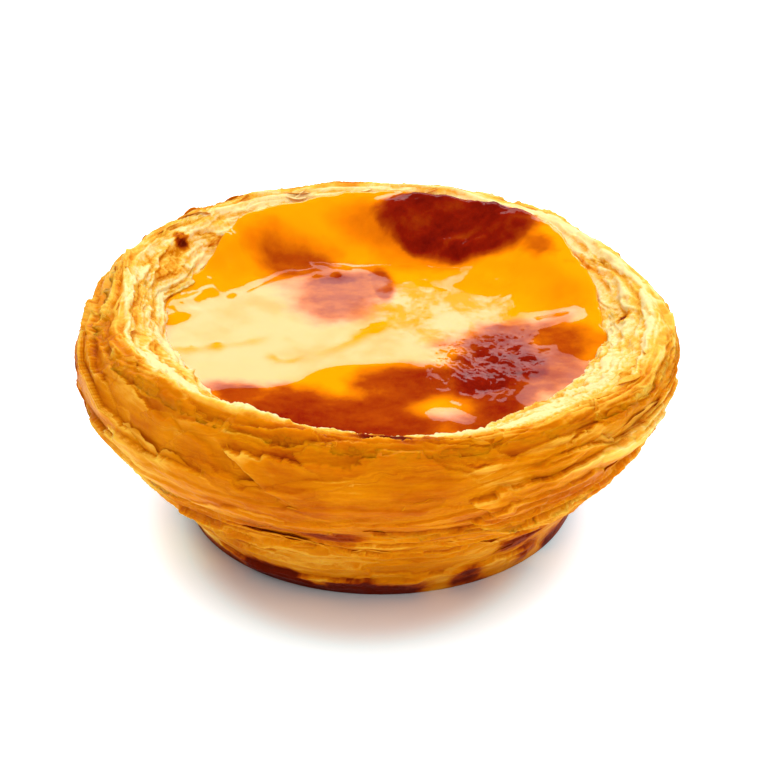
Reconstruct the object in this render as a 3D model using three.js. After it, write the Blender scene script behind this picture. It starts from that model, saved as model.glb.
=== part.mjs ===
// A Portuguese custard tart: a cup of laminated pastry, uneven at its rim and stepped where
// its leaves end, filled with a custard that has sunk in the middle and clings to the wall.
// Millimetres, +Z up, the origin at the middle of the flat base, the taller rim towards -X.
import * as THREE from "three";

const degrees = THREE.MathUtils.degToRad;

// Driving dimensions of the tart.
const BULGE_RADIUS = 37.5; // the widest ring of the pastry
const BULGE_HEIGHT = 20.5;
const BASE_RADIUS = 24.6; // the flat that the tart stands on
const RIM_RADIUS = 33.6; // the crest of the rim, before it wanders
const RIM_HEIGHT = 28.0;
const MOUTH_RADIUS = 27.0; // where the custard meets the pastry
const CUSTARD_LEVEL = 21.4; // the sunken middle of the custard
const FLOOR_THICKNESS = 3.0; // pastry under the custard
const FIT_GAP = 0.35; // between pastry and custard

// How uneven the baking left it.
const LEAN = 0.7; // the wall leans this far towards -X by the time it reaches the bulge
const RIM_SAGS = [
  // where the crest is lower, and by how much
  { direction: degrees(5), halfWidth: 1.5, depth: 2.4 },
  { direction: degrees(143), halfWidth: 0.85, depth: 1.5 },
];
const RIM_SPREADS = [
  // where it stands further out, or in
  { direction: degrees(-25), halfWidth: 1.3, depth: 2.0 },
  { direction: degrees(-128), halfWidth: 1.2, depth: -1.6 },
  { direction: degrees(150), halfWidth: 0.9, depth: -0.8 },
];
const RIM_RIPPLE = 0.45;
const WALL_RIPPLE = 0.3;

// The leaves of pastry that end on the outer wall, each a step in a slow spiral.
const LEAF_STEP = 0.75;
const LEAF_COUNT = 6;
const LEAF_SPIRAL = 1; // the leaves climb by this many leaves in one turn
const LEAF_WANDER = 0.32; // of a leaf's height

// The custard's surface.
const CLING_HEIGHT = 2.1; // how far it climbs the wall all round
const BACK_CLING = 1.9; // how much further it climbs at the back
const BACK_DIRECTION = degrees(75);
const BLISTER_HEIGHT = 0.9;

// Facets.
const SEGMENTS = 84;
const WALL_STEPS = 24;
const LIP_STEPS = 12;
const LINING_STEPS = 4;
const CLIMB_STEPS = 3;
const SURFACE_STEPS = 10;

const smooth = (low, high, x) => THREE.MathUtils.smoothstep(x, low, high);

// A closed wander round the tart: a few unrelated waves, between about -1 and 1.
function wander(angle, phase, lowest, count) {
  let sum = 0;
  for (let k = 0; k < count; k++) sum += Math.sin((lowest + k) * angle + phase * (1 + 1.7 * k));
  return sum / Math.sqrt(count * 1.6);
}

// A hump of the given half width, in radians, centred on a direction.
function hump(angle, direction, halfWidth) {
  const away = Math.abs(Math.atan2(Math.sin(angle - direction), Math.cos(angle - direction)));
  return 1 - smooth(0, halfWidth, away);
}

// What a list of humps adds up to in a direction.
const total = (humps, angle) =>
  humps.reduce((sum, { direction, halfWidth, depth }) => sum + depth * hump(angle, direction, halfWidth), 0);

// The leaves' relief on the outer wall: each leaf swells outwards as it climbs, then ends in a step.
function leafRelief(angle, climb) {
  const turn = angle / (2 * Math.PI);
  const along = climb * LEAF_COUNT + LEAF_SPIRAL * turn + LEAF_WANDER * wander(angle, 2.1, 2, 4);
  const within = along - Math.floor(along);
  const swell = smooth(0, 0.8, within) * (1 - smooth(0.86, 1, within));
  return LEAF_STEP * (swell - 0.5) * smooth(0.03, 0.15, climb) * (1 - smooth(0.9, 1, climb));
}

// Moves a point of the turned shape to its uneven place. climb is the share of the outer wall
// that lies below the point, or null where the point isn't on the outer wall.
function bakeUnevenly(point, climb) {
  const radius = Math.hypot(point.x, point.y);
  const angle = Math.atan2(point.y, point.x);
  const raised = smooth(0, BULGE_HEIGHT, point.z);
  const nearRim = smooth(0.55 * RIM_HEIGHT, RIM_HEIGHT, point.z);
  const outward = smooth(0.3 * MOUTH_RADIUS, MOUTH_RADIUS, radius);
  const atCrest = smooth(BULGE_HEIGHT, RIM_HEIGHT, point.z) * smooth(MOUTH_RADIUS, RIM_RADIUS, radius);
  const crumple = total(RIM_SPREADS, angle) + RIM_RIPPLE * wander(angle, 4.3, 7, 5);
  const leaves = climb === null ? 0 : leafRelief(angle, climb);
  const ripple = WALL_RIPPLE * wander(angle, 0.7, 2, 4) * raised;
  const moved = radius + outward * (ripple + leaves) + atCrest * crumple;
  const lift = RIM_RIPPLE * wander(angle, 1.9, 3, 6) - total(RIM_SAGS, angle);
  point.set(
    moved * Math.cos(angle) - LEAN * raised * outward,
    moved * Math.sin(angle),
    point.z + nearRim * outward * lift,
  );
}

// A closed turned body with +Z up from a profile of [radius, height] that starts and ends on the
// axis. change(point, step) then moves each of its points.
function turned(profile, change) {
  const geometry = new THREE.LatheGeometry(profile, SEGMENTS).rotateX(Math.PI / 2);
  const place = geometry.getAttribute("position");
  const point = new THREE.Vector3();
  for (let i = 0; i < place.count; i++) {
    const step = i % profile.length;
    point.fromBufferAttribute(place, i);
    change(point, step);
    place.setXYZ(i, point.x, point.y, point.z);
  }
  return geometry;
}

// Evenly spaced points of a smooth line through the given [radius, height] pairs.
function line(pairs, steps) {
  return new THREE.SplineCurve(pairs.map(([r, z]) => new THREE.Vector2(r, z))).getSpacedPoints(steps);
}

// The outer wall from the base's edge up to the rim's crest: a cone that swells over the tin's
// edge, turns upright at the bulge and leans in to the crest.
const wallLine = line(
  [
    [BASE_RADIUS, 0],
    [BASE_RADIUS + 0.8, 1.4],
    [BASE_RADIUS + 0.28 * (BULGE_RADIUS - BASE_RADIUS), 0.33 * BULGE_HEIGHT],
    [BASE_RADIUS + 0.62 * (BULGE_RADIUS - BASE_RADIUS), 0.6 * BULGE_HEIGHT],
    [BULGE_RADIUS - 1.2, 0.83 * BULGE_HEIGHT],
    [BULGE_RADIUS, BULGE_HEIGHT],
    [BULGE_RADIUS - 0.7, RIM_HEIGHT - 3.2],
    [RIM_RADIUS + 1.7, RIM_HEIGHT - 0.8],
    [RIM_RADIUS, RIM_HEIGHT],
  ],
  WALL_STEPS,
);

// Down from the crest to where the custard stops hiding the pastry.
const lipLine = line(
  [
    [RIM_RADIUS, RIM_HEIGHT],
    [RIM_RADIUS - 1.8, RIM_HEIGHT - 0.7],
    [MOUTH_RADIUS + 1.6, CUSTARD_LEVEL + 2.5],
    [MOUTH_RADIUS, CUSTARD_LEVEL - 0.4],
  ],
  LIP_STEPS,
);

// The lining: the inside of the pastry from under the custard's edge down to its floor.
const liningLine = line(
  [
    [MOUTH_RADIUS, CUSTARD_LEVEL - 0.4],
    [MOUTH_RADIUS - 0.4, 0.68 * CUSTARD_LEVEL],
    [MOUTH_RADIUS - 2.4, 0.42 * CUSTARD_LEVEL],
    [BASE_RADIUS - 2.2, FLOOR_THICKNESS + 1.6],
    [BASE_RADIUS - 4.6, FLOOR_THICKNESS],
  ],
  LINING_STEPS,
);

// The pastry cup.
function makePastry() {
  const profile = [
    new THREE.Vector2(0, 0),
    ...wallLine,
    ...lipLine.slice(1),
    ...liningLine.slice(1),
    new THREE.Vector2(0, FLOOR_THICKNESS),
  ];
  return turned(profile, (point, step) => {
    const onWall = step >= 1 && step <= WALL_STEPS + 1;
    bakeUnevenly(point, onWall ? (step - 1) / WALL_STEPS : null);
  });
}

// How far the custard climbs the pastry in a direction.
const cling = (angle) => CLING_HEIGHT + BACK_CLING * hump(angle, BACK_DIRECTION, 1.5);

// The custard: it fills the lining, climbs the lip a little and ends above in a dished surface
// with low blisters.
function makeCustard() {
  const side = liningLine
    .slice()
    .reverse()
    .map((p) => new THREE.Vector2(p.x - FIT_GAP, p.y + (p.y < FLOOR_THICKNESS + 0.1 ? FIT_GAP : 0)));
  const mouth = side[side.length - 1];
  const climb = new Array(CLIMB_STEPS).fill(mouth);
  const surface = [];
  for (let i = 1; i <= SURFACE_STEPS; i++) {
    surface.push(new THREE.Vector2(mouth.x * (1 - i / SURFACE_STEPS), CUSTARD_LEVEL));
  }
  const profile = [new THREE.Vector2(0, FLOOR_THICKNESS + FIT_GAP), ...side, ...climb, ...surface];
  const firstOfClimb = 1 + side.length;
  const firstOfSurface = firstOfClimb + climb.length;
  return turned(profile, (point, step) => {
    const angle = Math.atan2(point.y, point.x);
    const share = Math.hypot(point.x, point.y) / mouth.x;
    if (step >= firstOfSurface) {
      point.z = surfaceHeight(angle, share);
    } else if (step >= firstOfClimb) {
      const climbed = (step - firstOfClimb + 1) / CLIMB_STEPS;
      followLip(point, angle, THREE.MathUtils.lerp(mouth.y, surfaceHeight(angle, 1), climbed));
    }
    bakeUnevenly(point, null);
  });
}

// The custard's height in a direction, at a share of the way out to the pastry.
function surfaceHeight(angle, share) {
  const blister = hump(angle, BACK_DIRECTION, 0.8) * (1 - smooth(0, 0.3, Math.abs(share - 0.8)));
  return CUSTARD_LEVEL + cling(angle) * smooth(0.62, 1, share) + BLISTER_HEIGHT * blister;
}

// Sets a point of the custard on the lip's slope at the given height, a gap away from it.
function followLip(point, angle, height) {
  let i = 0;
  while (i < lipLine.length - 2 && lipLine[i + 1].y > height) i++;
  const [above, below] = [lipLine[i], lipLine[i + 1]];
  const share = (above.y - height) / (above.y - below.y);
  const radius = THREE.MathUtils.lerp(above.x, below.x, share) - 1.5 * FIT_GAP;
  point.set(radius * Math.cos(angle), radius * Math.sin(angle), height);
}

const pastryMaterial = new THREE.MeshStandardMaterial({ color: 0xd9942a, roughness: 0.62, metalness: 0 });
const custardMaterial = new THREE.MeshStandardMaterial({ color: 0xf5ad1e, roughness: 0.2, metalness: 0 });

const tart = new THREE.Group();

const pastry = new THREE.Mesh(makePastry(), pastryMaterial);
pastry.name = "pastry_shell";
tart.add(pastry);

const custard = new THREE.Mesh(makeCustard(), custardMaterial);
custard.name = "custard";
tart.add(custard);

export default tart;
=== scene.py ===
# %% [markdown]
# # A Portuguese custard tart
# The tart is a cup of laminated pastry: dozens of thin leaves, pressed up a tin's wall by thumb,
# that part from each other in the oven. In it a custard has puffed up, sunk again and scorched.
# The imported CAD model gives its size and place. Everything below is worked out from that box,
# in millimetres, and turned into metres when a mesh is made.

# %% Load the frame
import math

import bpy
import numpy as np
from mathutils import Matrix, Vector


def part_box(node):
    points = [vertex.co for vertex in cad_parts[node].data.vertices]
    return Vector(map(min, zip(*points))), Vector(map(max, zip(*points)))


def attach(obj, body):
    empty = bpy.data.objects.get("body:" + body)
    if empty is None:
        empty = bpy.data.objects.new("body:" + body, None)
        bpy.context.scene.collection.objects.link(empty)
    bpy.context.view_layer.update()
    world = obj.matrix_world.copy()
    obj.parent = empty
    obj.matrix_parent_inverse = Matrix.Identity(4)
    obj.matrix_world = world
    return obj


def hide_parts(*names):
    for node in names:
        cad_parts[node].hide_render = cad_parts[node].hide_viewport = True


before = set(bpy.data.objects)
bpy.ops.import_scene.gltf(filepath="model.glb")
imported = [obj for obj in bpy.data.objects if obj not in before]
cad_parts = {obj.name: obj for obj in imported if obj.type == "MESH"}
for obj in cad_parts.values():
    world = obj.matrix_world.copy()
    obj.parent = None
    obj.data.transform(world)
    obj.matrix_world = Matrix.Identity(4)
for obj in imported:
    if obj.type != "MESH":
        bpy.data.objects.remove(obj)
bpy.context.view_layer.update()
MM = 0.001

# %% [markdown]
# ## The sizes that everything follows from
# A tart is round, so a few radii and heights say almost all. They are shares of the CAD box: its
# widest ring is the bulge, where the dough swelled over the tin's edge.

# %% Sizes from the frame, in millimetres
pastry_low, pastry_high = (np.array(corner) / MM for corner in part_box("pastry_shell"))
WIDTH = float(pastry_high[0] - pastry_low[0])
HEIGHT = float(pastry_high[2] - pastry_low[2])

BULGE_RADIUS = 0.494 * WIDTH
BASE_RADIUS = 0.324 * WIDTH
RIM_RADIUS = 0.443 * WIDTH
MOUTH_RADIUS = 0.356 * WIDTH
BULGE_HEIGHT = 0.718 * HEIGHT
RIM_HEIGHT = 0.981 * HEIGHT
LEVEL = 0.750 * HEIGHT
LEAN = 0.0092 * WIDTH
FULL_TURN = 2 * math.pi
print(f"tart {WIDTH:.1f} mm wide, {HEIGHT:.1f} mm high, custard at {LEVEL:.1f} mm")

# %% [markdown]
# ## Unevenness
# Nothing on a tart is a true circle. Two helpers make that: a smooth step, and a value noise, which
# puts a random number on every knot of a grid and blends smoothly between the knots. The grid
# wraps round after a whole number of knots, so it closes without a seam round the tart.

# %% Smooth steps, humps and noise
def step(low, high, x):
    """0 below low, 1 above high, and 3t^2 - 2t^3 of the share t between them."""
    t = np.clip((x - low) / (high - low), 0, 1)
    return t * t * (3 - 2 * t)


def turned_from(angle, direction):
    """The signed angle from direction to angle, between minus and plus half a turn."""
    return (angle - direction + math.pi) % FULL_TURN - math.pi


def hump(angle, direction, half_width):
    """1 in a direction, falling to 0 half_width away on both sides. Angles are in radians."""
    return 1 - step(0, half_width, np.abs(turned_from(angle, direction)))


def grid_noise(u, v, seed, round_after=64):
    """Value noise from -1 to 1: the four nearest knots' numbers, blended by the smooth step."""
    knots = np.random.default_rng(seed).uniform(-1, 1, (round_after, 64))
    i, j = np.floor(u).astype(int), np.floor(v).astype(int)
    s, t = step(0, 1, u - i), step(0, 1, v - j)
    i, k, j, m = i % round_after, (i + 1) % round_after, j % 64, (j + 1) % 64
    near = knots[i, j] * (1 - s) + knots[k, j] * s
    far = knots[i, m] * (1 - s) + knots[k, m] * s
    return near * (1 - t) + far * t


def rough(u, v, seed, octaves=4, round_after=64):
    """Octaves of value noise: each has half the size and a bit over half the height of the last."""
    total, height = 0, 0
    for k in range(octaves):
        total = total + 0.55**k * grid_noise(u * 2**k, v * 2**k, seed + k, round_after * 2**k)
        height += 0.55**k
    return total / height


def round_noise(angle, climb, across, up, seed, octaves=3):
    """Noise on the tart's wall: across knots in a turn, and a knot every up millimetres of climb."""
    return rough(angle / FULL_TURN * across, climb / up, seed, octaves, across)


# %% [markdown]
# ## The cup's section
# The pastry's skin is one line carried round the tart: from the base's edge up the cone, over the
# bulge to the rim's crest, and down the inner lip to the custard. "Climb" is the length along that
# line from the base's edge, and stays the pastry's own measure of height from here on.

# %% The section as a smooth line
def smooth_line(pairs, spacing=0.05):
    """A Catmull-Rom curve through [radius, height] pairs, resampled at an even spacing."""
    points = np.array(pairs)
    ends = np.vstack([2 * points[0] - points[1], points, 2 * points[-1] - points[-2]])
    t = np.linspace(0, 1, 40, endpoint=False)[:, None]
    bends = []
    for a, b, c, d in zip(ends, ends[1:], ends[2:], ends[3:]):
        square, cube = 2 * a - 5 * b + 4 * c - d, 3 * b - a - 3 * c + d
        bends.append(0.5 * (2 * b + (c - a) * t + square * t**2 + cube * t**3))
    curve = np.vstack(bends + [points[-1:]])
    length = np.concatenate([[0], np.cumsum(np.hypot(*np.diff(curve, axis=0).T))])
    even = np.arange(0, length[-1], spacing)
    return np.stack([np.interp(even, length, curve[:, k]) for k in (0, 1)], 1), even


OVERHANG = BULGE_RADIUS - BASE_RADIUS
section, section_climb = smooth_line([
    [BASE_RADIUS, 0],
    [BASE_RADIUS + 0.8, 1.4],
    [BASE_RADIUS + 0.28 * OVERHANG, 0.33 * BULGE_HEIGHT],
    [BASE_RADIUS + 0.62 * OVERHANG, 0.6 * BULGE_HEIGHT],
    [BULGE_RADIUS - 1.2, 0.83 * BULGE_HEIGHT],
    [BULGE_RADIUS, BULGE_HEIGHT],
    [BULGE_RADIUS - 0.7, RIM_HEIGHT - 3.2],
    [RIM_RADIUS + 1.7, RIM_HEIGHT - 0.8],
    [RIM_RADIUS, RIM_HEIGHT],
    [RIM_RADIUS - 1.8, RIM_HEIGHT - 0.7],
    [MOUTH_RADIUS + 1.6, LEVEL + 2.5],
    [MOUTH_RADIUS, LEVEL - 0.4],
    [MOUTH_RADIUS - 0.3, LEVEL - 4],
])
CREST = float(section_climb[section[:, 1].argmax()])
LIP_END = float(section_climb[-1])
print(f"crest after {CREST:.1f} mm of climb, lip ends after {LIP_END:.1f} mm")

# %% The uneven skin of the pastry
# Where the crest is lower, where it stands further out, and where the inner lip swells: each has a
# direction in degrees, a half width in radians and a depth in millimetres.
RIM_SAGS = [(5, 1.5, 2.4), (148, 0.6, 0.8), (-88, 0.9, 0.9), (180, 0.5, 0.7), (98, 1.0, 0.8)]
RIM_SPREADS = [(-25, 1.3, 2.0), (-128, 1.2, -1.6), (135, 0.75, 1.4), (178, 0.5, -2.0)]
LIP_SWELLS = [(-38, 0.6, 2.6), (-150, 0.8, 3.8), (178, 0.5, 1.0), (20, 0.5, 0.8)]


def total(humps, angle):
    """The sum of some humps round the tart, each its depth high."""
    return sum(depth * hump(angle, math.radians(direction), half) for direction, half, depth in humps)


def skin(angle, climb, lift=0.0):
    """The pastry's skin, raised by lift along the section's normal.

    The section's point is pushed out and up by humps and slow noise, more so towards the rim.
    """
    radius, height = (np.interp(climb, section_climb, section[:, k]) for k in (0, 1))
    ahead, over = (np.interp(climb + 0.3, section_climb, section[:, k]) for k in (0, 1))
    back, under = (np.interp(climb - 0.3, section_climb, section[:, k]) for k in (0, 1))
    along = np.hypot(ahead - back, over - under)
    out, rise = (over - under) / along, -(ahead - back) / along
    raised = step(0, BULGE_HEIGHT, height)
    near_rim = step(0.55 * RIM_HEIGHT, RIM_HEIGHT, height)
    at_crest = step(BULGE_HEIGHT, RIM_HEIGHT, height) * step(MOUTH_RADIUS, RIM_RADIUS, radius)
    wobble = 0.35 * round_noise(angle, climb, 7, 14, 11) * raised
    crumple = total(RIM_SPREADS, angle) + 0.5 * round_noise(angle, climb * 0, 16, 9, 12)
    sag = 0.4 * round_noise(angle, climb * 0, 11, 9, 13) - total(RIM_SAGS, angle)
    inside = step(CREST + 1.5, CREST + 7, climb)
    lumpy = step(CREST + 1.0, CREST + 4, climb)
    swell = inside * total(LIP_SWELLS, angle) + 1.3 * lumpy * round_noise(angle, climb, 34, 5, 14, 4)
    distance = radius + wobble + at_crest * crumple - swell + out * lift
    x = distance * np.cos(angle) - LEAN * raised
    y = distance * np.sin(angle)
    z = height + near_rim * sag * step(LEVEL - 4, LEVEL + 3, height) + rise * lift
    return np.stack([x, y, np.maximum(z, 0)], -1)


crest_height = skin(np.linspace(0, FULL_TURN, 360), np.full(360, CREST))[:, 2]
print(f"the crest is {crest_height.min():.1f} to {crest_height.max():.1f} mm high")

# %% [markdown]
# ## Making meshes
# Every piece is made of rings of points: rings laid side by side make a grid of quads. Where a body
# ends on the axis, a fan of triangles closes it, so nothing is left open. Values that the finish
# needs later, such as how brown a spot is, are stored on the points.

# %% Grids to meshes
def grid_faces(rows, columns, closed_rows=False, closed_columns=False):
    """Quads between neighbours in a grid, whose rows or columns may run round to the start."""
    i = np.arange(rows if closed_rows else rows - 1)
    j = np.arange(columns if closed_columns else columns - 1)
    i, j = np.meshgrid(i, j, indexing="ij")
    k, m = (i + 1) % rows, (j + 1) % columns
    corners = [i * columns + j, i * columns + m, k * columns + m, k * columns + j]
    return np.stack(corners, -1).reshape(-1, 4)


def make_mesh(name, points, quads, fans=(), values=None):
    """A smooth mesh object from points in millimetres, quads, triangles and values on the points."""
    mesh = bpy.data.meshes.new(name)
    fans = np.array(fans, int).reshape(-1, 3)
    corners = np.concatenate([quads.ravel(), fans.ravel()])
    starts = np.concatenate([np.arange(len(quads)) * 4, len(quads) * 4 + np.arange(len(fans)) * 3])
    mesh.vertices.add(len(points))
    mesh.vertices.foreach_set("co", (points * MM).astype(np.float32).ravel())
    mesh.loops.add(len(corners))
    mesh.loops.foreach_set("vertex_index", corners.astype(np.int32))
    mesh.polygons.add(len(starts))
    mesh.polygons.foreach_set("loop_start", starts.astype(np.int32))
    mesh.update(calc_edges=True)
    mesh.validate()
    mesh.polygons.foreach_set("use_smooth", np.ones(len(mesh.polygons), bool))
    for key, value in (values or {}).items():
        attribute = mesh.attributes.new(key, "FLOAT", "POINT")
        attribute.data.foreach_set("value", value.astype(np.float32).ravel())
    piece = bpy.data.objects.new(name, mesh)
    bpy.context.scene.collection.objects.link(piece)
    print(f"{name}: {len(quads) * 2 + len(fans):,} triangles")
    return piece


def turned_body(name, rings, values):
    """A closed body from rings [ring, angle, xyz], whose first and last rings close on a point each."""
    rows, columns = rings.shape[:2]
    points = np.vstack([rings.reshape(-1, 3), rings[0].mean(0), rings[-1].mean(0)])
    quads = grid_faces(rows, columns, closed_columns=True)
    j = np.arange(columns)
    k = (j + 1) % columns
    first, last = rows * columns, rows * columns + 1
    top = (rows - 1) * columns
    fans = np.concatenate([
        np.stack([k, j, np.full(columns, first)], 1),
        np.stack([top + j, top + k, np.full(columns, last)], 1),
    ])
    values = {
        key: np.append(value.ravel(), [value[0].mean(), value[-1].mean()])
        for key, value in values.items()
    }
    return make_mesh(name, points, quads, fans, values)


# %% [markdown]
# ## The leaves of the dough
# The dough was rolled from hundreds of leaves. On the wall they lie like shingles upside down: each
# hugs the leaf behind it, thickens towards its free upper edge and is torn off there. They could be
# separate sheets, but sheets this thin and this close would cut through each other. So they are
# laid one after another into one relief: each adds its own thickness inside its torn outline, and
# tells the finish which leaf is outermost, where its edge runs to be painted paler as a highlight,
# and where painted shade goes in the hollow above it.

# %% Where each leaf lies
chance = np.random.default_rng(21)


def scatter(count, first_edge, last_edge, half, length, thick, tilt, torn):
    """One row of numbers per leaf, in millimetres, with the directions a golden turn apart.

    The edges go from first_edge to last_edge of climb, and each other number is drawn from its range.
    """
    order = np.arange(count)
    return {
        "direction": (order * 0.618 + chance.uniform(-0.06, 0.06, count)) % 1 * FULL_TURN,
        "edge": first_edge + (last_edge - first_edge) * (order + chance.uniform(-3, 3, count)) / count,
        "half": chance.uniform(*half, count),
        "length": chance.uniform(*length, count),
        "thick": chance.uniform(*thick, count),
        "tilt": chance.uniform(-tilt, tilt, count),
        "torn": chance.uniform(*torn, count),
        "blunt": chance.choice([2.0, 4.0, 30.0], count),
        "tone": chance.uniform(0, 1, count),
        "slant": chance.uniform(-2.5, 2.5, count),
    }


wall_leaves = scatter(64, CREST, 4.0, (10, 36), (6, 11), (0.2, 0.6), 2.4, (0.3, 0.9))
small_leaves = scatter(110, CREST + 1, 1.5, (2, 11), (1.6, 4.5), (0.08, 0.28), 1.0, (0.3, 0.8))
rim_leaves = scatter(150, LIP_END - 5, CREST - 4, (4, 14), (1.2, 3.0), (0.15, 0.5), 1.2, (0.3, 0.9))
for kind, leaves in (("wide", wall_leaves), ("narrow", small_leaves), ("rim", rim_leaves)):
    print(f"{len(leaves['edge'])} {kind} leaves")

# %% The few leaves that stand out
proud_leaves = np.array([  # direction in degrees, edge, half, length, thickness, tilt, torn, blunt, tone
    (-108, 31.8, 10, 5, 0.5, 0.5, 0.5, 4, 0.6),
    (-100, 30.2, 14.5, 9, 0.95, 1.3, 0.8, 30, 0.35),
    (-52, 29.6, 18, 5, 0.55, 0.8, 0.5, 6, 0.2),
    (-38, 27.6, 16, 6, 0.8, 0.6, 0.7, 8, 0.7),
    (-50, 26.2, 17, 8, 1.0, 1.4, 0.7, 30, 0.3),
    (-20, 25.0, 16, 7, 0.8, -1.0, 0.8, 10, 0.2),
    (-60, 22.0, 11, 6, 0.6, 1.2, 0.6, 30, 0.4),
    (-100, 18.6, 7, 4, 0.25, -1.8, 0.5, 30, 0.8),
    (-38, 19.5, 14, 7, 0.9, 1.6, 1.0, 12, 0.2),
    (-172, 30.6, 12, 6, 0.9, -1.4, 0.9, 8, 0.3),
    (-165, 28.4, 13, 6, 1.0, -1.6, 0.9, 10, 0.15),
    (172, 29.5, 10, 5, 0.8, 0.8, 0.9, 10, 0.3),
    (-140, 24.5, 20, 8, 0.8, 1.5, 0.7, 6, 0.2),
    (-148, 15.5, 10, 6, 0.9, -1.0, 1.0, 20, 0.2),
    (-128, 12.0, 12, 5, 0.7, 1.0, 1.0, 20, 0.3),
    (-85, 11.5, 13, 5, 0.5, -1.2, 0.9, 12, 0.5),
    (-35, 12.5, 10, 6, 1.0, 1.0, 1.2, 20, 0.3),
    (35, 28.0, 22, 8, 0.9, 1.5, 0.8, 10, 0.3),
    (75, 22.0, 20, 8, 0.9, -1.5, 0.8, 20, 0.6),
    (110, 29.0, 18, 7, 0.8, 1.0, 0.8, 10, 0.3),
    (140, 20.0, 22, 9, 0.9, 1.8, 0.8, 20, 0.4),
])
proud_leaves = dict(zip(
    ("direction", "edge", "half", "length", "thick", "tilt", "torn", "blunt", "tone"), proud_leaves.T))
proud_leaves["direction"] = np.radians(proud_leaves["direction"])
proud_leaves["slant"] = chance.uniform(-3, 3, len(proud_leaves["edge"]))
TORN_EDGE = 0.28  # how far inside its outline a leaf reaches its full thickness
print(f"{len(proud_leaves['edge'])} leaves stand out")


def lay_leaves(leaves, angle, climb, layers):
    """Lays leaves over a relief, from the innermost to the outermost, and changes layers in place.

    A point lies inside a leaf by the smaller of its depth below the torn edge and its distance from
    the nearer end, which slants. There the leaf adds thick * (1 - depth / length)^1.4, faded towards
    its ends as 1 - |u|^blunt, where u runs from -1 to 1 along the leaf.
    """
    sideways = 1.5 * round_noise(angle, climb[:, None], 70, 2.4, 31, 5)
    upwards = 0.45 * round_noise(angle, climb[:, None], 110, 1.7, 36, 4)
    along = np.linspace(-1.2, 1.2, 500)
    for k, edge in enumerate(leaves["edge"]):
        half, length, thick = leaves["half"][k], leaves["length"][k], leaves["thick"][k]
        away = turned_from(angle, leaves["direction"][k]) * BULGE_RADIUS
        reach = half + 2 + abs(leaves["slant"][k]) * max(length, 5)
        columns = np.flatnonzero(np.abs(away) < reach)
        rows = np.flatnonzero((climb > edge - length - 1) & (climb < edge + 5))
        if len(rows) == 0:
            continue
        part = np.ix_(rows, columns)
        arc = away[columns] + sideways[part] + leaves["slant"][k] * (edge - climb[rows][:, None])
        u = arc / half
        torn = leaves["torn"][k] * rough(along * half / 2.0 + 64, 0 * along + 7.3 * k, 32, 5)
        torn = torn + 1.3 * grid_noise(along * half / 10 + 32, 0 * along + 3.7 * k, 37)
        torn = torn + leaves["tilt"][k] * along
        depth = edge + np.interp(u, along, torn) + upwards[part] - climb[rows][:, None]
        inside = np.minimum(depth, (1 - np.abs(u)) * half)
        fade = 1 - np.clip(np.abs(u), 0, 1) ** leaves["blunt"][k]
        swollen = thick * fade * np.clip(1 - depth / length, 0, 1) ** 1.4
        cover = step(0.0, TORN_EDGE, inside) * (depth < length)
        crisp = np.clip(thick * fade / 0.45, 0, 1)
        layers["lift"][part] += swollen * step(0.0, TORN_EDGE, inside)
        # Painted highlight: the leaf's torn edge is marked to be painted paler.
        layers["edge"][part] += cover * (crisp * np.exp(-inside / 0.45) - layers["edge"][part])
        free_part = step(length, 0.6 * length, depth)
        layers["leaf"][part] += cover * (leaves["tone"][k] - layers["leaf"][part]) * free_part
        # Painted shade: the hollow just above a leaf's edge is marked to be painted darker.
        shade = (1 - cover) * crisp * np.exp(np.minimum(inside, 0) / 0.8) * (inside < TORN_EDGE)
        layers["behind"][part] = np.maximum(layers["behind"][part] * (1 - cover), shade)


# %% [markdown]
# ## Where the oven browned it
# A tart browns unevenly: the base sits on hot metal and scorches in patches, thin places catch and
# thick ones stay pale. Each such place is an oval on the wall with a torn outline, worked out for
# every point together with the relief, so that colour and shape stay in step.

# %% Where the pastry is browner or paler
BROWNED = [  # direction in degrees, climb, half width and half height in mm, how much browner
    (-52, 7.6, 6, 3.2, 0.5),
    (-44, 21.5, 9, 3.0, 0.2),
    (-112, 17.0, 6, 2.4, 0.14),
    (-99, 16.0, 7, 2.6, 0.34),
    (178, 31.5, 18, 3.0, 0.04),
    (170, 31.0, 26, 6.0, -0.14),
    (141.5, 36.2, 2.0, 1.7, 0.8),
    (4, 37.0, 1.6, 1.6, 0.8),
    (-88, 34.2, 5.0, 0.9, 0.9),
    (-80, 33.4, 5.0, 1.2, 0.25),
    (-170, 26.0, 8, 2.5, 0.14),
    (25, 36.0, 55, 7.0, -0.15),
    (75, 35.0, 45, 5.0, -0.15),
    (140, 43.0, 34, 5.0, -0.15),
    (45, 29.0, 40, 6.0, -0.22),
    (-30, 35.0, 18, 3.5, 0.10),
    (-165, 43.0, 26, 5.0, -0.28),
    (-130, 35.6, 30, 3.2, -0.38),
    (-86, 22.0, 34, 12.0, 0.09),
    (-150, 22.0, 18, 12.0, -0.10),
    (-118, 2.5, 9, 2.8, 0.45),
    (-92, 1.2, 13, 2.8, 0.55),
    (-66, 2.2, 5, 3.4, 0.5),
    (-152, 3.5, 14, 6.0, -0.14),
    (-46, 3.0, 4, 3.0, 0.35),
    (-75, 34.6, 9, 1.2, -0.2),
    (-34, 24.5, 18, 6.0, -0.24),
    (-160, 12.0, 20, 8.0, -0.08),
    (125, 34.0, 22, 4.0, -0.10),
    (60, 10.0, 40, 6.0, 0.10),
    (165, 14.0, 30, 7.0, 0.08),
]


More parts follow.
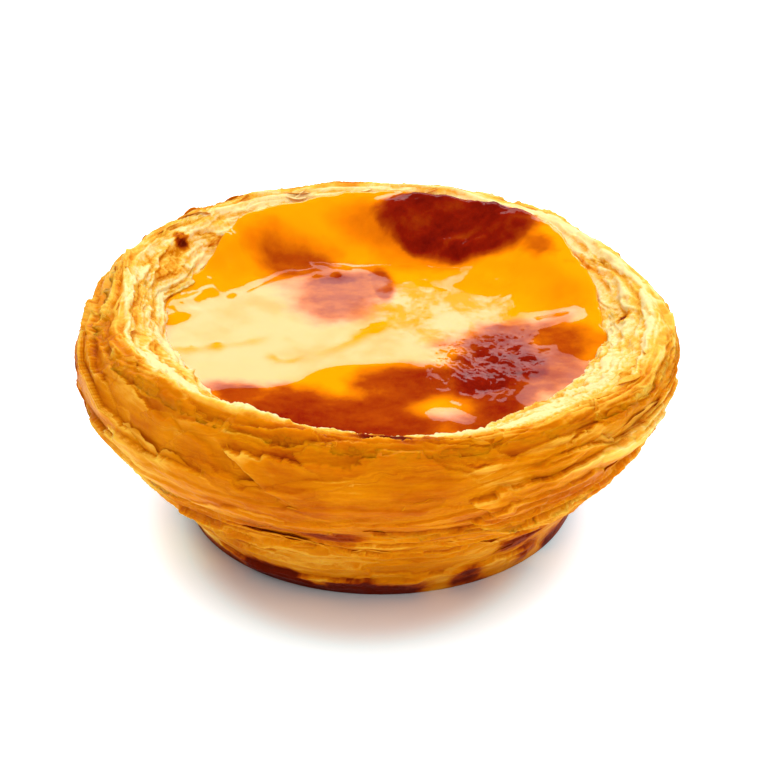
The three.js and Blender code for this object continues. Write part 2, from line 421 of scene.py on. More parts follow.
def toast(angle, climb):
    """How much browner than usual: the sum of smooth ovals, and a base that browned in patches."""
    uneven = round_noise(angle, climb, 60, 3.0, 47, 4)
    browner = np.zeros(np.broadcast(angle, climb).shape)
    for direction, centre, half_width, half_height, strength in BROWNED:
        away = turned_from(angle, math.radians(direction)) * BULGE_RADIUS / half_width
        oval = 1 - np.hypot(away, (climb - centre) / half_height) + 0.35 * uneven
        browner = browner + strength * step(0, 0.7, oval)
    patches = round_noise(angle, climb, 17, 4, 48, 4) + 0.25 * uneven
    return browner + 0.5 * step(-0.4, 0.8, 1.8 * patches + 0.6 - climb / 4.5)


print(f"{len(BROWNED)} places are browner or paler")

# %% [markdown]
# ## The rim's pages
# On the rim the same leaves stand on end and are seen like the pages of a wet book: wavy ridges
# side by side, some broken into crumbs. Noise that is long round the tart and short across the
# rim gives them: wherever it crosses zero there is a ridge.

# %% The whole relief
def broad(angle):
    """Where the rim is broad and crumbly: on the left, and on the right towards the front."""
    return np.maximum(hump(angle, math.radians(172), 1.2), hump(angle, math.radians(-18), 1.3))


def relief(angle, climb):
    """All that stands out of the smooth skin at every climb and angle, and what the finish reads."""
    height = climb[:, None]
    shape = (len(climb), len(angle))
    layers = {key: np.zeros(shape) for key in ("lift", "edge", "behind")}
    layers["leaf"] = np.full(shape, 0.5)
    lay_leaves(rim_leaves, angle, climb, layers)
    lay_leaves(wall_leaves, angle, climb, layers)
    lay_leaves(proud_leaves, angle, climb, layers)
    lay_leaves(small_leaves, angle, climb, layers)

    loose = step(CREST - 1.5 - 3.5 * broad(angle), CREST + 0.5 - 3.0 * broad(angle), height)
    bend = 1.5 * round_noise(angle, height, 26, 5, 55, 3)
    pages = 1 - np.abs(round_noise(angle, height + bend, 19, 0.85, 56, 2)) * 1.6
    pages = np.clip(pages, 0, 1) ** 2
    crumbs = round_noise(angle, height, 190, 1.1, 53, 4)
    bubbles = round_noise(angle, height, 40, 5, 42)
    lumps = round_noise(angle, height, 60, 3.5, 54, 2)
    fine = round_noise(angle, height, 60, 0.7, 41, 3)
    layers["lift"] += -0.45 + 0.05 * fine + 0.20 * bubbles
    crumbly = (0.07 + 0.07 * broad(angle)) * crumbs
    layers["lift"] += loose * (0.48 * (pages - 0.5) + crumbly + 0.24 * lumps)
    layers["lift"] *= step(0, 1.5, height)
    open_side = pages + 0.5 * crumbs
    # Painted highlight on the pages' open tips, and painted shade in the gaps between them.
    layers["edge"] = np.maximum(layers["edge"], loose * 0.8 * step(0.35, 1.0, open_side))
    layers["behind"] = np.maximum(layers["behind"], loose * 0.8 * step(0.25, -0.35, open_side))
    layers["climb"] = height + 0 * angle
    layers["toast"] = toast(angle, height)
    return layers


# %% [markdown]
# ## The cup in three rings
# One mesh with every leaf's torn edge in it would be very heavy, so the cup is three rings that
# stand on each other. Each is a closed body: the relief outside and a plain face hidden inside. At
# a joint the rings overlap by a narrow row, a hair lower than its neighbour, so no gap can show.

# %% Closed rings of pastry
COLUMNS = 1080
RING_THICKNESS = 2.2
OVERLAP = 0.6
HAIR = 0.03


def ring_of_skin(name, first, last, rows, solid=False):
    """A ring of the relief from one climb to another, closed by a hidden inner face.

    The relief is carried from the lower border to the upper, and the inner face back down. A solid
    ring starts with the disc that the tart stands on, and closes on its axis.
    """
    angle = np.arange(COLUMNS) / COLUMNS * FULL_TURN
    climb = np.concatenate([[first - OVERLAP], np.linspace(first, last, rows), [last + OVERLAP]])
    climb = np.clip(climb, 0, LIP_END)
    layers = relief(angle, climb)
    tuck = np.concatenate([[-HAIR], np.zeros(rows), [-HAIR]])[:, None]
    outer = skin(angle, climb[:, None], layers.pop("lift") + tuck)
    inner_climb = np.linspace(last, first + 0.5, 4)
    inner = skin(angle, inner_climb[:, None], -RING_THICKNESS)
    if solid:
        radii = np.array([8, 16, BASE_RADIUS - 1.2])[:, None]
        floor = np.stack([radii * np.cos(angle), radii * np.sin(angle), 0 * radii * angle], -1)
        rings = np.concatenate([floor, outer[1:], inner])
        values = {
            key: np.vstack([value[:3] * 0, value[1:], value[:4] * 0])
            for key, value in layers.items()
        }
        return turned_body(name, rings, values)
    rings = np.concatenate([outer, inner])
    values = {key: np.vstack([value, value[:4]]) for key, value in layers.items()}
    faces = grid_faces(len(rings), COLUMNS, closed_rows=True, closed_columns=True)
    return make_mesh(name, rings.reshape(-1, 3), faces, values=values)


WAIST = 0.52 * CREST
SHOULDER = CREST - 2.5
wall_low = ring_of_skin("pastry_wall_low", 0, WAIST, 84, solid=True)
wall_high = ring_of_skin("pastry_wall_high", WAIST, SHOULDER, 84)
rim = ring_of_skin("pastry_rim", SHOULDER, LIP_END, 86)

# %% [markdown]
# ## Loose flakes
# The thinnest leaves have sprung away from the dough and break its outline. Each is a small closed
# shell: buried at its root, torn along its free edge. All flakes are worked out at once.

# %% Thin shells
def thin_shells(name, place, count, along, up, values):
    """Closed shells, all alike in their faces.

    place(k, u, t, side) gives shell k's points at u from -1 to 1 along it and at t from its root to
    its free edge, on its outer face (side 1) or its inner one (side -1).
    """
    k = np.arange(count)[:, None, None]
    u = np.linspace(-1, 1, along)[None, :, None]
    t = np.concatenate([np.linspace(0, 1, up), np.linspace(1, 0, up)])[None, None, :]
    side = np.concatenate([np.ones(up), -np.ones(up)])[None, None, :]
    k, u, t, side = np.broadcast_arrays(k, u, t, side)
    points = place(k, u, t, side)
    ring = 2 * up
    round_faces = grid_faces(along, ring, closed_columns=True)[:, ::-1]
    m = np.arange(up - 1)
    start = np.stack([m, m + 1, ring - 2 - m, ring - 1 - m], 1)
    end = start[:, ::-1] + (along - 1) * ring
    faces = np.vstack([round_faces, start, end])
    quads = (faces[None] + (np.arange(count) * along * ring)[:, None, None]).reshape(-1, 4)
    return make_mesh(name, points.reshape(-1, 3), quads, values=values(k, u, t, side))


FLAKES = 130
on_rim = np.arange(FLAKES) % 3 == 0


def drawn(rim_range, wall_range):
    """One number per flake: from the rim's range for every third, from the wall's for the others."""
    return np.where(on_rim, chance.uniform(*rim_range, FLAKES), chance.uniform(*wall_range, FLAKES))


flake = {
    "direction": chance.uniform(0, FULL_TURN, FLAKES),
    "root": drawn((CREST - 3, CREST + 1), (5, CREST - 3)),
    "half": drawn((0.8, 2.5), (1.5, 6.0)),
    "length": drawn((0.4, 0.9), (1.2, 3.2)),
    "rise": drawn((0.1, 0.35), (0.1, 0.7)),
    "tilt": chance.uniform(-1.0, 1.0, FLAKES),
}
# At the front they hug the wall.
flake["rise"] = flake["rise"] * (1 - 0.8 * hump(flake["direction"], math.radians(-90), 0.8))


def flake_climb(k, u, t):
    """The climb along a flake: from its root, by its torn length, plus its tilt."""
    arc = u * flake["half"][k]
    torn = 0.85 + 0.3 * rough(arc / 1.5 + 30, 5.0 * k, 73, 4)
    length = flake["length"][k] * torn * (1 - np.abs(u) ** 3)
    wave = 0.5 * grid_noise(arc / 3 + 30, 3.0 * k, 74)
    return flake["root"][k] + flake["tilt"][k] * u + wave + t * length


def flake_place(k, u, t, side):
    """A flake leaves the skin as t^1.4 and is thinner at its free edge."""
    angle = flake["direction"][k] + u * flake["half"][k] / BULGE_RADIUS
    climb = flake_climb(k, u, t)
    curl = 0.6 + 0.4 * grid_noise(u * flake["half"][k] / 2 + 30, 9.0 * k, 75)
    free = (1 - np.abs(u) ** 3) * t**1.4
    lift = -0.35 + (0.35 + flake["rise"][k] * curl) * free
    return skin(angle, climb, lift + side * (0.09 - 0.05 * t))


def flake_values(k, u, t, side):
    """Its free edge is painted a little paler as a highlight, and its inner face gets painted shade as
    deep as a hollow's.
    """
    climb = flake_climb(k, u, t)
    browner = toast(flake["direction"][k] + u * flake["half"][k] / BULGE_RADIUS, climb)
    return {
        "climb": climb,
        # Painted highlight on the free edge, painted shade on the inner face.
        "edge": t**2 * 0.25,
        "behind": 0.8 * (side < 0),
        "leaf": (k * 0.37) % 1,
        "toast": browner,
    }


flakes = thin_shells("pastry_flakes", flake_place, FLAKES, 26, 4, flake_values)

# %% [markdown]
# ## The custard
# The custard's skin is a height over the plane, on a grid of rings. It is almost flat where it has
# sunk, so it mirrors the light behind it there. It banks up against the pastry behind and on the
# right, and dips to the front, and each slope shows the custard's own colour instead. Where the
# oven's heat reached it first it is scorched, in patches that the finish darkens.

# %% Where the custard is scorched
SCORCHES = [  # x, y, half length, half width, turned by degrees, how dark
    ("back blister", 9.8, 25.1, 12.4, 4.6, -20, 1.05),
    ("blister's glow", 6.0, 25.6, 16.0, 6.6, -14, 0.32),
    ("left skin", -5.8, 14.4, 8.2, 10.6, 8, 0.60),
    ("left slope", -10.0, 20.8, 9.2, 5.5, -8, 0.60),
    ("left crescent", -6.4, 17.4, 5.4, 2.2, 10, 0.88),
    ("left border", 0.2, 15.5, 2.0, 6.0, 8, 0.66),
    ("front band", -4.0, -15.8, 18.0, 6.6, -3, 0.86),
    ("front bridge", 2.0, -12.0, 9.0, 4.0, 16, 0.78),
    ("band's left end", -17.0, -12.5, 7.0, 3.4, -24, 0.66),
    ("wrinkled skin", 14.6, -4.6, 12.0, 9.2, 60, 1.0),
    ("right skin", 21.0, -4.0, 7.5, 13.0, -12, 0.62),
    ("front middle", 5.5, -8.6, 11.5, 5.0, 6, 0.74),
    ("front right", 14.0, -13.0, 10.0, 6.4, 28, 0.80),
    ("right smear", 20.5, 18.5, 5.0, 2.2, -50, 0.5),
]
BLISTER = SCORCHES[0][1:-1]
POOL_RIM = (7.4, -13.6, 6.6, 3.2, 4)
print(f"{len(SCORCHES)} scorched places")


def patch(x, y, centre_x, centre_y, half_length, half_width, degrees):
    """1 in the middle of a turned oval, falling evenly to 0 at its outline and below 0 outside."""
    turn = math.radians(degrees)
    along = (x - centre_x) * math.cos(turn) + (y - centre_y) * math.sin(turn)
    across = (y - centre_y) * math.cos(turn) - (x - centre_x) * math.sin(turn)
    return 1 - np.hypot(along / half_length, across / half_width)


def scorch(x, y):
    """How scorched the custard is: ovals with torn outlines, the darkest one counting.

    The blister's outline is crisp, small ovals are torn the most, and round the pool it stays yellow.
    """
    torn = 0.34 * rough(x / 5 + 40, y / 4 + 40, 61, 6)
    streaks = 1 + 0.30 * rough(x / 5 + 20, y / 1.8 + 20, 72, 4)
    darkest = np.zeros_like(x)
    for name, *oval, darkness in SCORCHES:
        crisp = name == "back blister"
        inside = patch(x, y, *oval) + torn * (0.5 if crisp else max(1, 5 / oval[3]))
        darkest = np.maximum(darkest, darkness * step(-0.08, 0.25 if crisp else 0.62, inside))
    return darkest * streaks * (1 - 0.9 * step(0.0, 0.9, patch(x, y, *POOL_RIM) + torn))


# %% [markdown]
# ## Folds and slopes
# As the custard sank, its skin was too large for it and folded. A fold is a low ridge, less than a
# millimetre high, yet it bends the mirrored light and so draws a sharp line. The banks, the dip and
# the folds are all added to one height.

# %% Folds in the custard's skin
CREASES = [  # x, y, half length, turned by degrees, bend, width, height
    (-20.5, -0.8, 8.0, 14, 0.02, 0.8, 0.12),
    (-2.6, 1.4, 8.0, 45, 0.02, 0.8, 0.12),
    (-0.5, 4.2, 5.0, 40, 0.03, 0.7, 0.10),
    (-12.0, -4.0, 3.0, -8, 0.1, 0.6, 0.05),
    (-10.5, 21.5, 6.0, -20, 0.03, 0.8, 0.42),
    (-7.0, 19.0, 3.6, 6, 0.04, 1.2, 0.36),
    (15.0, 15.0, 5.0, -40, 0.05, 0.8, 0.20),
    (9.0, 21.5, 5.5, -10, 0.03, 0.7, 0.25),
    (15.5, 18.0, 5.0, -35, 0.03, 1.0, 0.34),
    (-19.5, 17.5, 10.0, 36, 0.01, 1.0, 0.55),
    (-23.0, 12.5, 7.0, 42, 0.02, 0.9, 0.40),
    (-19.6, 20.8, 5.5, 40, 0.0, 1.6, 1.1),
]
THIN_FOLDS = CREASES[:4]


def crease(x, y, centre_x, centre_y, half_length, degrees, bend, width, height):
    """A ridge along a bent line: a bell across it that wanders, wavers and fades at both ends."""
    turn = math.radians(degrees)
    along = (x - centre_x) * math.cos(turn) + (y - centre_y) * math.sin(turn)
    across = (y - centre_y) * math.cos(turn) - (x - centre_x) * math.sin(turn) - bend * along**2
    wander = 0.8 * rough(along / 2.6 + 20, along * 0 + centre_x, 62, 3)
    uneven = 0.75 + 0.6 * grid_noise(along / 1.7 + 20, along * 0 + centre_y, 68)
    bell = np.exp(-((across - wander) / (width * (0.8 + 0.4 * uneven))) ** 2)
    return height * uneven * bell * (1 - step(0.3, 1, np.abs(along) / half_length))


def mound(x, y, centre_x, centre_y, spread, height):
    """A round bell: height times e to the minus the squared distance, counted in spreads."""
    return height * np.exp(-((x - centre_x) ** 2 + (y - centre_y) ** 2) / spread**2)


# %% The custard's height
CENTRE_X = -0.4  # the filling leans with the cup


def behind(angle):
    """Where the custard has crept further up the pastry: over most of the back."""
    return step(0, 0.5, hump(angle, math.radians(82), 1.3))


def bank_height(x, y):
    """How far the custard banks up against the pastry: behind, on the right and at the left back."""
    radius, angle = np.hypot(x - CENTRE_X, y), np.arctan2(y, x - CENTRE_X)
    uneven = rough(x / 8 + 70, y / 8 + 70, 69, 2) * (1 - 0.7 * hump(angle, math.radians(112), 0.7))
    radius = radius + 2.7 * uneven + 0.25 * rough(x / 3.5 + 70, y / 3.5 + 70, 76, 3)
    start = 21.5 + 4.5 * hump(angle, math.radians(142), 0.9)
    back = hump(angle, math.radians(88), 1.45) * 5.4 * step(start, 32.5, radius)
    right = hump(angle, math.radians(36), 0.8) * 3.2 * step(18.0, 27.5, radius)
    left_back = hump(angle, math.radians(128), 0.5) * 2.4 * step(22.5, 29.5, radius)
    meniscus = 0.5 * step(25.0, 28.5, radius) * (1 - hump(angle, math.radians(-90), 1.0))
    return back + right + left_back + meniscus


def dip_depth(x, y):
    """How far the custard dips to the front: a slope beyond a shore that curves round the flat."""
    shore = -7.2 + 3.6 * np.tanh((x + 9) / 4.5) + 0.4 * np.maximum(x - 8, 0)
    beyond = np.maximum(shore + 1.0 * rough(x / 6 + 3, y / 6 + 3, 70, 2) - y, 0)
    return 0.18 * (beyond - 1.2 * (1 - np.exp(-beyond / 1.2))) * (1 - 0.7 * step(8, 18, x + 0.3 * y + 3))


def custard_height(x, y):
    """The height of the custard's skin over a point of the plane.

    To the level, the banks and the dip it adds slow waves, the wrinkled skin at the right, shallow
    dimples, the blister, the folds and a pool at the front. Beyond its outline it dives out of sight.
    """
    slow = 0.08 * rough(x / 9 + 10, y / 9 + 10, 63, 2)
    wrinkled = step(0.0, 0.5, patch(x, y, 13, -4.5, 10.5, 8, 60) + 0.35 * rough(x / 3, y / 3, 74, 3))
    wrinkles = 0.62 * rough(x / 2.0 + 30, y / 2.8 + 30, 64, 4) * wrinkled
    mottled = step(0.0, 0.5, patch(x, y, 8.5, 11.5, 13, 13, 0) + 0.3 * rough(x / 3 + 5, y / 3 + 5, 65, 3))
    dimples = 0.05 * rough(x / 4.0 + 50, y / 3.4 + 50, 66, 3) * mottled
    edge_of_blister = patch(x, y, *BLISTER) + 0.10 * rough(x / 3 + 9, y / 3 + 9, 67, 4)
    blister = 1.7 * step(-0.05, 0.5, edge_of_blister) * (1 + 0.22 * rough(x / 2.4, y / 1.6, 75, 4))
    blister = blister * (1 + 0.10 * rough(x / 0.8, y / 0.8, 79, 2))
    folds = sum(crease(x, y, *line) for line in CREASES)
    pool = mound(x, 1.6 * y, 8.4, -27.5, 3.4, 0.6) * (1 + 0.15 * rough(x / 2 + 80, y / 2 + 80, 77, 3))
    level = LEVEL + bank_height(x, y) - dip_depth(x, y)
    radius, angle = np.hypot(x - CENTRE_X, y), np.arctan2(y, x - CENTRE_X)
    outline = MOUTH_RADIUS + 2.0 + 2.4 * behind(angle) + 1.3 * rough(angle * 5 + 40, 0 * angle, 78, 5)
    dive = 5 * step(outline - 0.2, outline + 1.6, radius)
    return level + slow + wrinkles + dimples + blister + folds + pool - dive


middle, back = custard_height(np.array([0.0, 0.0]), np.array([0.0, 27.0]))
print(f"the custard is {middle:.1f} mm high in the middle and {back:.1f} mm at the back")

# %% The custard's body
CUSTARD_COLUMNS, CUSTARD_ROWS = 720, 132
custard_angle = np.arange(CUSTARD_COLUMNS) / CUSTARD_COLUMNS * FULL_TURN
reach = MOUTH_RADIUS + 2.6 + 2.8 * behind(custard_angle)
share = np.linspace(1, 0.004, CUSTARD_ROWS)[:, None]
custard_x = share * reach * np.cos(custard_angle) + CENTRE_X
custard_y = share * reach * np.sin(custard_angle)
top = np.stack([custard_x, custard_y, custard_height(custard_x, custard_y)], -1)
under = np.stack([custard_x[[-1, 0]], custard_y[[-1, 0]], np.full((2, CUSTARD_COLUMNS), LEVEL - 6)], -1)
custard_rings = np.concatenate([under, top])
dull = step(-0.1, 0.25, patch(custard_x, custard_y, *BLISTER))
creased = np.clip(sum(crease(custard_x, custard_y, *line) / line[-1] for line in THIN_FOLDS), 0, 1)
speckled = step(-0.05, 0.4, patch(custard_x, custard_y, 8.5, 11.5, 13, 14, 0))
values = {"scorch": scorch(custard_x, custard_y), "dull": dull, "speckled": speckled, "creased": creased}
values = {key: np.concatenate([0 * under[..., 0], value]) for key, value in values.items()}
custard = turned_body("custard_filling", custard_rings, values)

# %% [markdown]
# ## Writing materials as sums
# A material is arithmetic on what changes over a surface. The class below wraps a socket, so that
# `0.5 + 0.3 * noise` adds the Math nodes by itself, and one method adds any other node.

# %% A socket that does sums
class Wire:
    """A value inside a material. Sums, differences and products of it add Math nodes."""

    def __init__(self, finish, socket):
        self.finish, self.socket = finish, socket

    def sum_node(self, operation, first, second):
        return self.finish.node("ShaderNodeMath", {"operation": operation}, {0: first, 1: second})

    def __add__(self, other):
        return self.sum_node("ADD", self, other)

    def __sub__(self, other):
        return self.sum_node("SUBTRACT", self, other)

    def __rsub__(self, other):
        return self.sum_node("SUBTRACT", other, self)

    def __mul__(self, other):
        return self.sum_node("MULTIPLY", self, other)

    __radd__, __rmul__ = __add__, __mul__


class Finish:
    """A material under construction, round one Principled shader."""

    def __init__(self, name, **constants):
        self.material = bpy.data.materials.new(name)
        self.material.use_nodes = True
        self.tree = self.material.node_tree
        self.shader = self.tree.nodes["Principled BSDF"]
        for socket, value in constants.items():
            self.shader.inputs[socket.replace("_", " ")].default_value = value

    def feed(self, socket, value):
        if isinstance(value, Wire):
            self.tree.links.new(value.socket, socket)
        else:
            socket.default_value = value

    def node(self, kind, settings=None, inputs=None, output=0, stops=None):
        """Adds a node: its settings and stops first, then its sockets' values or links."""
        made = self.tree.nodes.new(kind)
        for key, value in (settings or {}).items():
            setattr(made, key, value)
        if stops:
            ramp = made.color_ramp
            while len(ramp.elements) < len(stops):
                ramp.elements.new(0.5)
            for element, (position, colour) in zip(ramp.elements, stops):
                element.position, element.color = position, (*colour, 1)
        for key, value in (inputs or {}).items():
            self.feed(made.inputs[key], value)
        return Wire(self, made.outputs[output])

    def value(self, name):
        """A value that the mesh carries on its points."""
        return self.node("ShaderNodeAttribute", {"attribute_name": name}, output="Fac")

    def place(self, x=1.0, y=1.0, z=1.0):
        """Object coordinates in millimetres, times a stretch along each axis."""
        spot = self.node("ShaderNodeTexCoord", output="Object")
        stretch = (x / MM, y / MM, z / MM)
        return self.node("ShaderNodeVectorMath", {"operation": "MULTIPLY"}, {0: spot, 1: stretch})

    def noise(self, vector, scale=1.0, detail=3.0, roughness=0.55):
        return self.node("ShaderNodeTexNoise", None, {
            "Vector": vector, "Scale": scale, "Detail": detail, "Roughness": roughness}, output="Fac")

    def ramp(self, value, stops):
        return self.node("ShaderNodeValToRGB", None, {"Fac": value}, stops=stops, output="Color")

    def mask(self, value, low, high):
        """0 where value is below low, 1 above high, smooth between."""
        return self.node("ShaderNodeMapRange", {"interpolation_type": "SMOOTHSTEP"}, {
            "Value": value, "From Min": low, "From Max": high})

    def bump(self, height, distance, strength=1.0, below=None):
        inputs = {"Height": height, "Distance": distance, "Strength": strength}
        if below:
            inputs["Normal"] = below
        return self.node("ShaderNodeBump", None, inputs, output="Normal")

    def wear(self, **wires):
        """Feeds the shader's varying sockets and returns the finished material."""
        for socket, wire in wires.items():
            self.tree.links.new(wire.socket, self.shader.inputs[socket.replace("_", " ")])
        return self.material


# %% [markdown]
# ## The pastry's finish
# Baked pastry runs from cream where it stayed moist, through butter gold, to caramel and a dark
# brown where it touched the hot tin. Thin free edges are painted palest, a painted highlight and glow
# for the light that catches and passes through them, and painted shade makes the hollow behind a leaf
# the deepest orange. One number, the tone, gathers all that, and a ramp turns it into colour. Light
# also seeps through thick pastry and warms it from inside. A loose flake is too thin for that: light
# would leak out of its other face and leave it green.

# %% Pastry colours
CREAM = (0.95, 0.73, 0.33)
BUTTER = (0.93, 0.50, 0.055)
GOLD = (0.70, 0.215, 0.001)
AMBER = (0.53, 0.115, 0.001)
CARAMEL = (0.31, 0.036, 0.001)
BURNT = (0.13, 0.007, 0.001)


def pastry_finish(name, glow_inside):
    finish = Finish(name, Specular_IOR_Level=0.05, Specular_Tint=(1.0, 0.6, 0.12, 1),
                    Subsurface_Weight=glow_inside, Subsurface_Radius=(1.0, 0.5, 0.15),
                    Subsurface_Scale=0.0022)
    names = ("climb", "edge", "behind", "leaf", "toast")
    climb, edge, painted_hollow_shade, leaf_number, browner = (finish.value(name) for name in names)
    spot = finish.place()
    flat = finish.place(0.11, 0.11, 0.0)
    up = finish.node("ShaderNodeCombineXYZ", None, {"Z": climb * 0.8 + leaf_number * 40.0})
    along_leaf = finish.node("ShaderNodeVectorMath", {"operation": "ADD"}, {0: flat, 1: up})
    streaks = finish.noise(along_leaf, 1.0, 5.0, 0.62)
    fine = finish.noise(along_leaf, 3.4, 4.0, 0.6)
    blotches = finish.noise(spot, 0.13, 3.0, 0.5)
    crumbs = finish.noise(spot, 1.5, 3.0, 0.6)
    inward = finish.mask(climb, CREST - 2.0, CREST + 2.0)
    # Tone: 0 is cream, 1 is burnt. Painted shade deepens it in the hollows behind leaves and between
    # pages, and a painted highlight pales the free edges.
    tone = 0.46 + (streaks - 0.5) * 0.55 + (blotches - 0.5) * 0.4 + (leaf_number - 0.5) * 0.13
    tone = tone + painted_hollow_shade * (0.22 + inward * 0.14) - edge * 0.24 - inward * (0.30 - (crumbs - 0.5) * 0.6)
    tone = tone + browner * (0.7 + crumbs * 0.6)
    colour = finish.ramp(tone, [
        (0.0, CREAM), (0.2, BUTTER), (0.42, GOLD), (0.62, AMBER), (0.8, CARAMEL), (1.0, BURNT)])
    gloss = 0.5 + (crumbs - 0.5) * 0.3
    relief = finish.bump(fine * 0.5 + streaks * 0.5, 0.0003, 0.4)
    relief = finish.bump(crumbs, 0.0005, 0.25, relief)
    return finish.wear(Base_Color=colour, Roughness=gloss, Normal=relief)


# %% [markdown]
# ## The custard's finish
# Set custard is a saturated egg yellow, and its skin is wet. The wet film is a coat over a dull
# body: it is whole on the sunken flat, broken where the skin is speckled or scorched, and nearly
# gone on the blister. Under it the scorched skin runs from caramel to maroon.

# %% Custard colours
YOLK = (0.93, 0.355, 0.001)
ORANGE = (0.87, 0.22, 0.001)
TOFFEE = (0.44, 0.062, 0.002)
MAROON = (0.26, 0.010, 0.002)
CHAR = (0.13, 0.003, 0.002)


def custard_finish():
    finish = Finish("set custard", Specular_IOR_Level=0.0, Roughness=0.5, Coat_Roughness=0.035,
                    Subsurface_Weight=0.2, Subsurface_Radius=(1.0, 0.5, 0.1), Subsurface_Scale=0.0025)
    names = ("scorch", "dull", "speckled", "creased")
    dark, dull, speckled, creased = (finish.value(name) for name in names)
    spot = finish.place()
    clouds = finish.noise(spot, 0.16, 3.0, 0.5)
    mottle = finish.noise(spot, 0.9, 4.0, 0.6)
    specks = finish.noise(spot, 0.2, 7.0, 0.68)
    pits = finish.noise(spot, 2.6, 3.0, 0.6)
    tone = dark * 0.8 + (mottle - 0.5) * dark * 0.3 + (clouds - 0.5) * 0.18
    colour = finish.ramp(tone, [(0.0, YOLK), (0.2, ORANGE), (0.5, TOFFEE), (0.78, MAROON), (1.0, CHAR)])
    dry = speckled * finish.mask(specks, 0.43, 0.58) * 0.9
    wet = 1.0 - finish.mask(dark, 0.05, 0.6) * 0.6
    wet = wet * (1.0 - finish.mask(clouds, 0.45, 0.7) * 0.35)
    wet = wet * (1.0 - dull * 0.25) * (1.0 - dry) * (1.0 - creased * 0.95)
    relief = finish.bump(pits * dark, 0.0003, 0.35)
    return finish.wear(Base_Color=colour, Coat_Weight=wet, Normal=relief)


# %% Each piece gets its finish
thick_pastry = pastry_finish("baked pastry", 0.4)
for piece in (wall_low, wall_high, rim):
    piece.data.materials.append(thick_pastry)
flakes.data.materials.append(pastry_finish("thin flakes", 0.0))
custard.data.materials.append(custard_finish())
pastry_pieces = (wall_low, wall_high, rim, flakes)
for piece in (*pastry_pieces, custard):
    print(f"{piece.name}: {piece.data.materials[0].name}")

# %% [markdown]
# ## Telling the frame what stands for what
# The pastry pieces together stand for the CAD cup, and the filling for the CAD custard. A tart has
# no moving parts, so everything rides on the one body.

# %% Ride and replace
for piece in pastry_pieces:
    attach(piece, "root")
    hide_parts("pastry_shell")
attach(custard, "root")
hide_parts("custard")

# %% [markdown]
# ## Studio
# A white table in a dim white room. The floor is to turn pure white a little way from the tart and
# keep a soft shadow only under it and in front. So the table's finish also glows, and its glow paints
# the shadow's shape: no glow under the tart, more and more away from it, in ovals that reach further
# to the front than to the sides. The glow and the table's own colour have less red than the light
# that the golden wall throws on the table, a painted correction so that the shadow stays grey.

# %% Table
HALF_TABLE = 3.0
table_mesh = bpy.data.meshes.new("table")
table_mesh.from_pydata(
    [(HALF_TABLE * x, HALF_TABLE * y, 0) for x, y in ((-1, -1), (1, -1), (1, 1), (-1, 1))],
    [], [(0, 1, 2, 3)])
table = bpy.data.objects.new("table", table_mesh)
bpy.context.scene.collection.objects.link(table)
table_finish = Finish("white table with painted shadow glow", Base_Color=(0.84, 0.88, 0.89, 1), Roughness=0.9,
                      Specular_IOR_Level=0.1, Emission_Strength=1.0)
# The glow paints the shadow: none near the tart, rising to a cool white away from it.
from_shadow = table_finish.node("ShaderNodeVectorMath", {"operation": "ADD"}, {
    0: table_finish.place(1.3, 1.0, 1.0), 1: (2.7, 6.0, 0.0)})
how_far = table_finish.node(
    "ShaderNodeVectorMath", {"operation": "LENGTH"}, {0: from_shadow}, output="Value")
away = table_finish.mask(how_far, BASE_RADIUS, 1.6 * BASE_RADIUS)
glow = table_finish.ramp(away, [
    (0.0, (0, 0, 0)), (0.3, (0.13, 0.27, 0.30)), (0.6, (0.31, 0.41, 0.44)), (1.0, (0.55, 0.66, 0.72))])
table_mesh.materials.append(table_finish.wear(Emission_Color=glow))

# %% [markdown]
# ## Lights
# Three big soft lights. The one behind stands as steeply over the table as the camera looks down,
# so a level wet skin mirrors it straight to the camera, and a slope of a few degrees does not. It
# is the only one that gloss can see: the lights above and at the front only brighten, or else the
# custard would look milky all over.

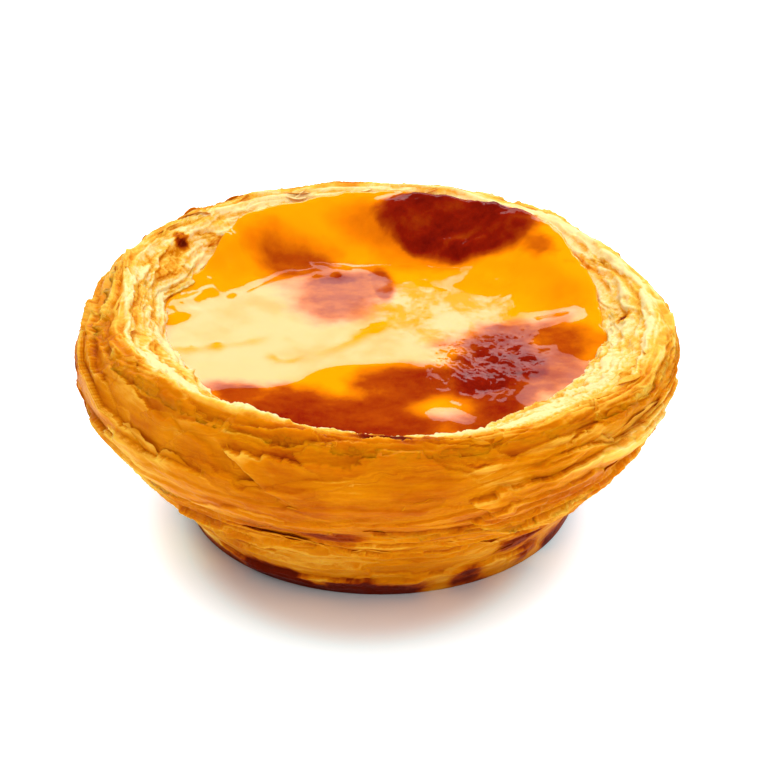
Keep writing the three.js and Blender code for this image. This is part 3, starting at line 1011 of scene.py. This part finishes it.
# %% Lights
def soft_light(name, azimuth, elevation, distance, width, height, radiance, mirrored=False):
    """A rectangular light that faces the tart, with a power of radiance times pi times its area.

    It stands at an azimuth from +Y towards +X and an elevation, both in degrees, and its distance
    and size are in metres. Only a mirrored light is seen in the wet custard.
    """
    lamp = bpy.data.lights.new(name, "AREA")
    lamp.shape, lamp.size, lamp.size_y = "RECTANGLE", width, height
    lamp.energy = radiance * math.pi * width * height
    holder = bpy.data.objects.new(name, lamp)
    a, e = math.radians(azimuth), math.radians(elevation)
    holder.location = (distance * math.sin(a) * math.cos(e), distance * math.cos(a) * math.cos(e),
                       distance * math.sin(e) + LEVEL * MM)
    holder.rotation_euler = (-holder.location).to_track_quat("-Z", "Y").to_euler()
    holder.visible_glossy = mirrored
    bpy.context.scene.collection.objects.link(holder)
    print(f"{name}: {lamp.energy:.1f} W")


soft_light("light behind", 3, 30, 1.2, 1.0, 0.5, 3.8, mirrored=True)
soft_light("light above", 0, 89, 1.4, 2.6, 2.6, 1.4)
soft_light("light at the front", 145, 26, 1.5, 1.8, 0.9, 0.8)
world = bpy.data.worlds.new("dim white room")
world.use_nodes = True
world.node_tree.nodes["Background"].inputs["Color"].default_value = (1, 1, 1, 1)
world.node_tree.nodes["Background"].inputs["Strength"].default_value = 0.45
world.cycles_visibility.glossy = False
bpy.context.scene.world = world
bpy.context.scene.view_settings.view_transform = "Standard"

# %% [markdown]
# ## Camera
# A long lens, 40 cm from the tart and 21 cm over the table: far enough that the near rim isn't
# swollen, low enough that the wall shows as well as the custard.

# %% Camera
VIEW_ELEVATION = math.radians(29.5)
VIEW_DISTANCE = 0.4
LOOK_AT = (0.0006, 0.0, 0.5 * HEIGHT * MM + 0.0012)
camera_data = bpy.data.cameras.new("camera")
camera_data.lens = 148
camera = bpy.data.objects.new("camera", camera_data)
camera.location = (
    LOOK_AT[0],
    LOOK_AT[1] - VIEW_DISTANCE * math.cos(VIEW_ELEVATION),
    LOOK_AT[2] + VIEW_DISTANCE * math.sin(VIEW_ELEVATION),
)
camera.rotation_euler = (math.pi / 2 - VIEW_ELEVATION, 0, 0)
bpy.context.scene.collection.objects.link(camera)
bpy.context.scene.camera = camera
print(f"camera {VIEW_DISTANCE} m from the tart, with a {camera_data.lens:.0f} mm lens")
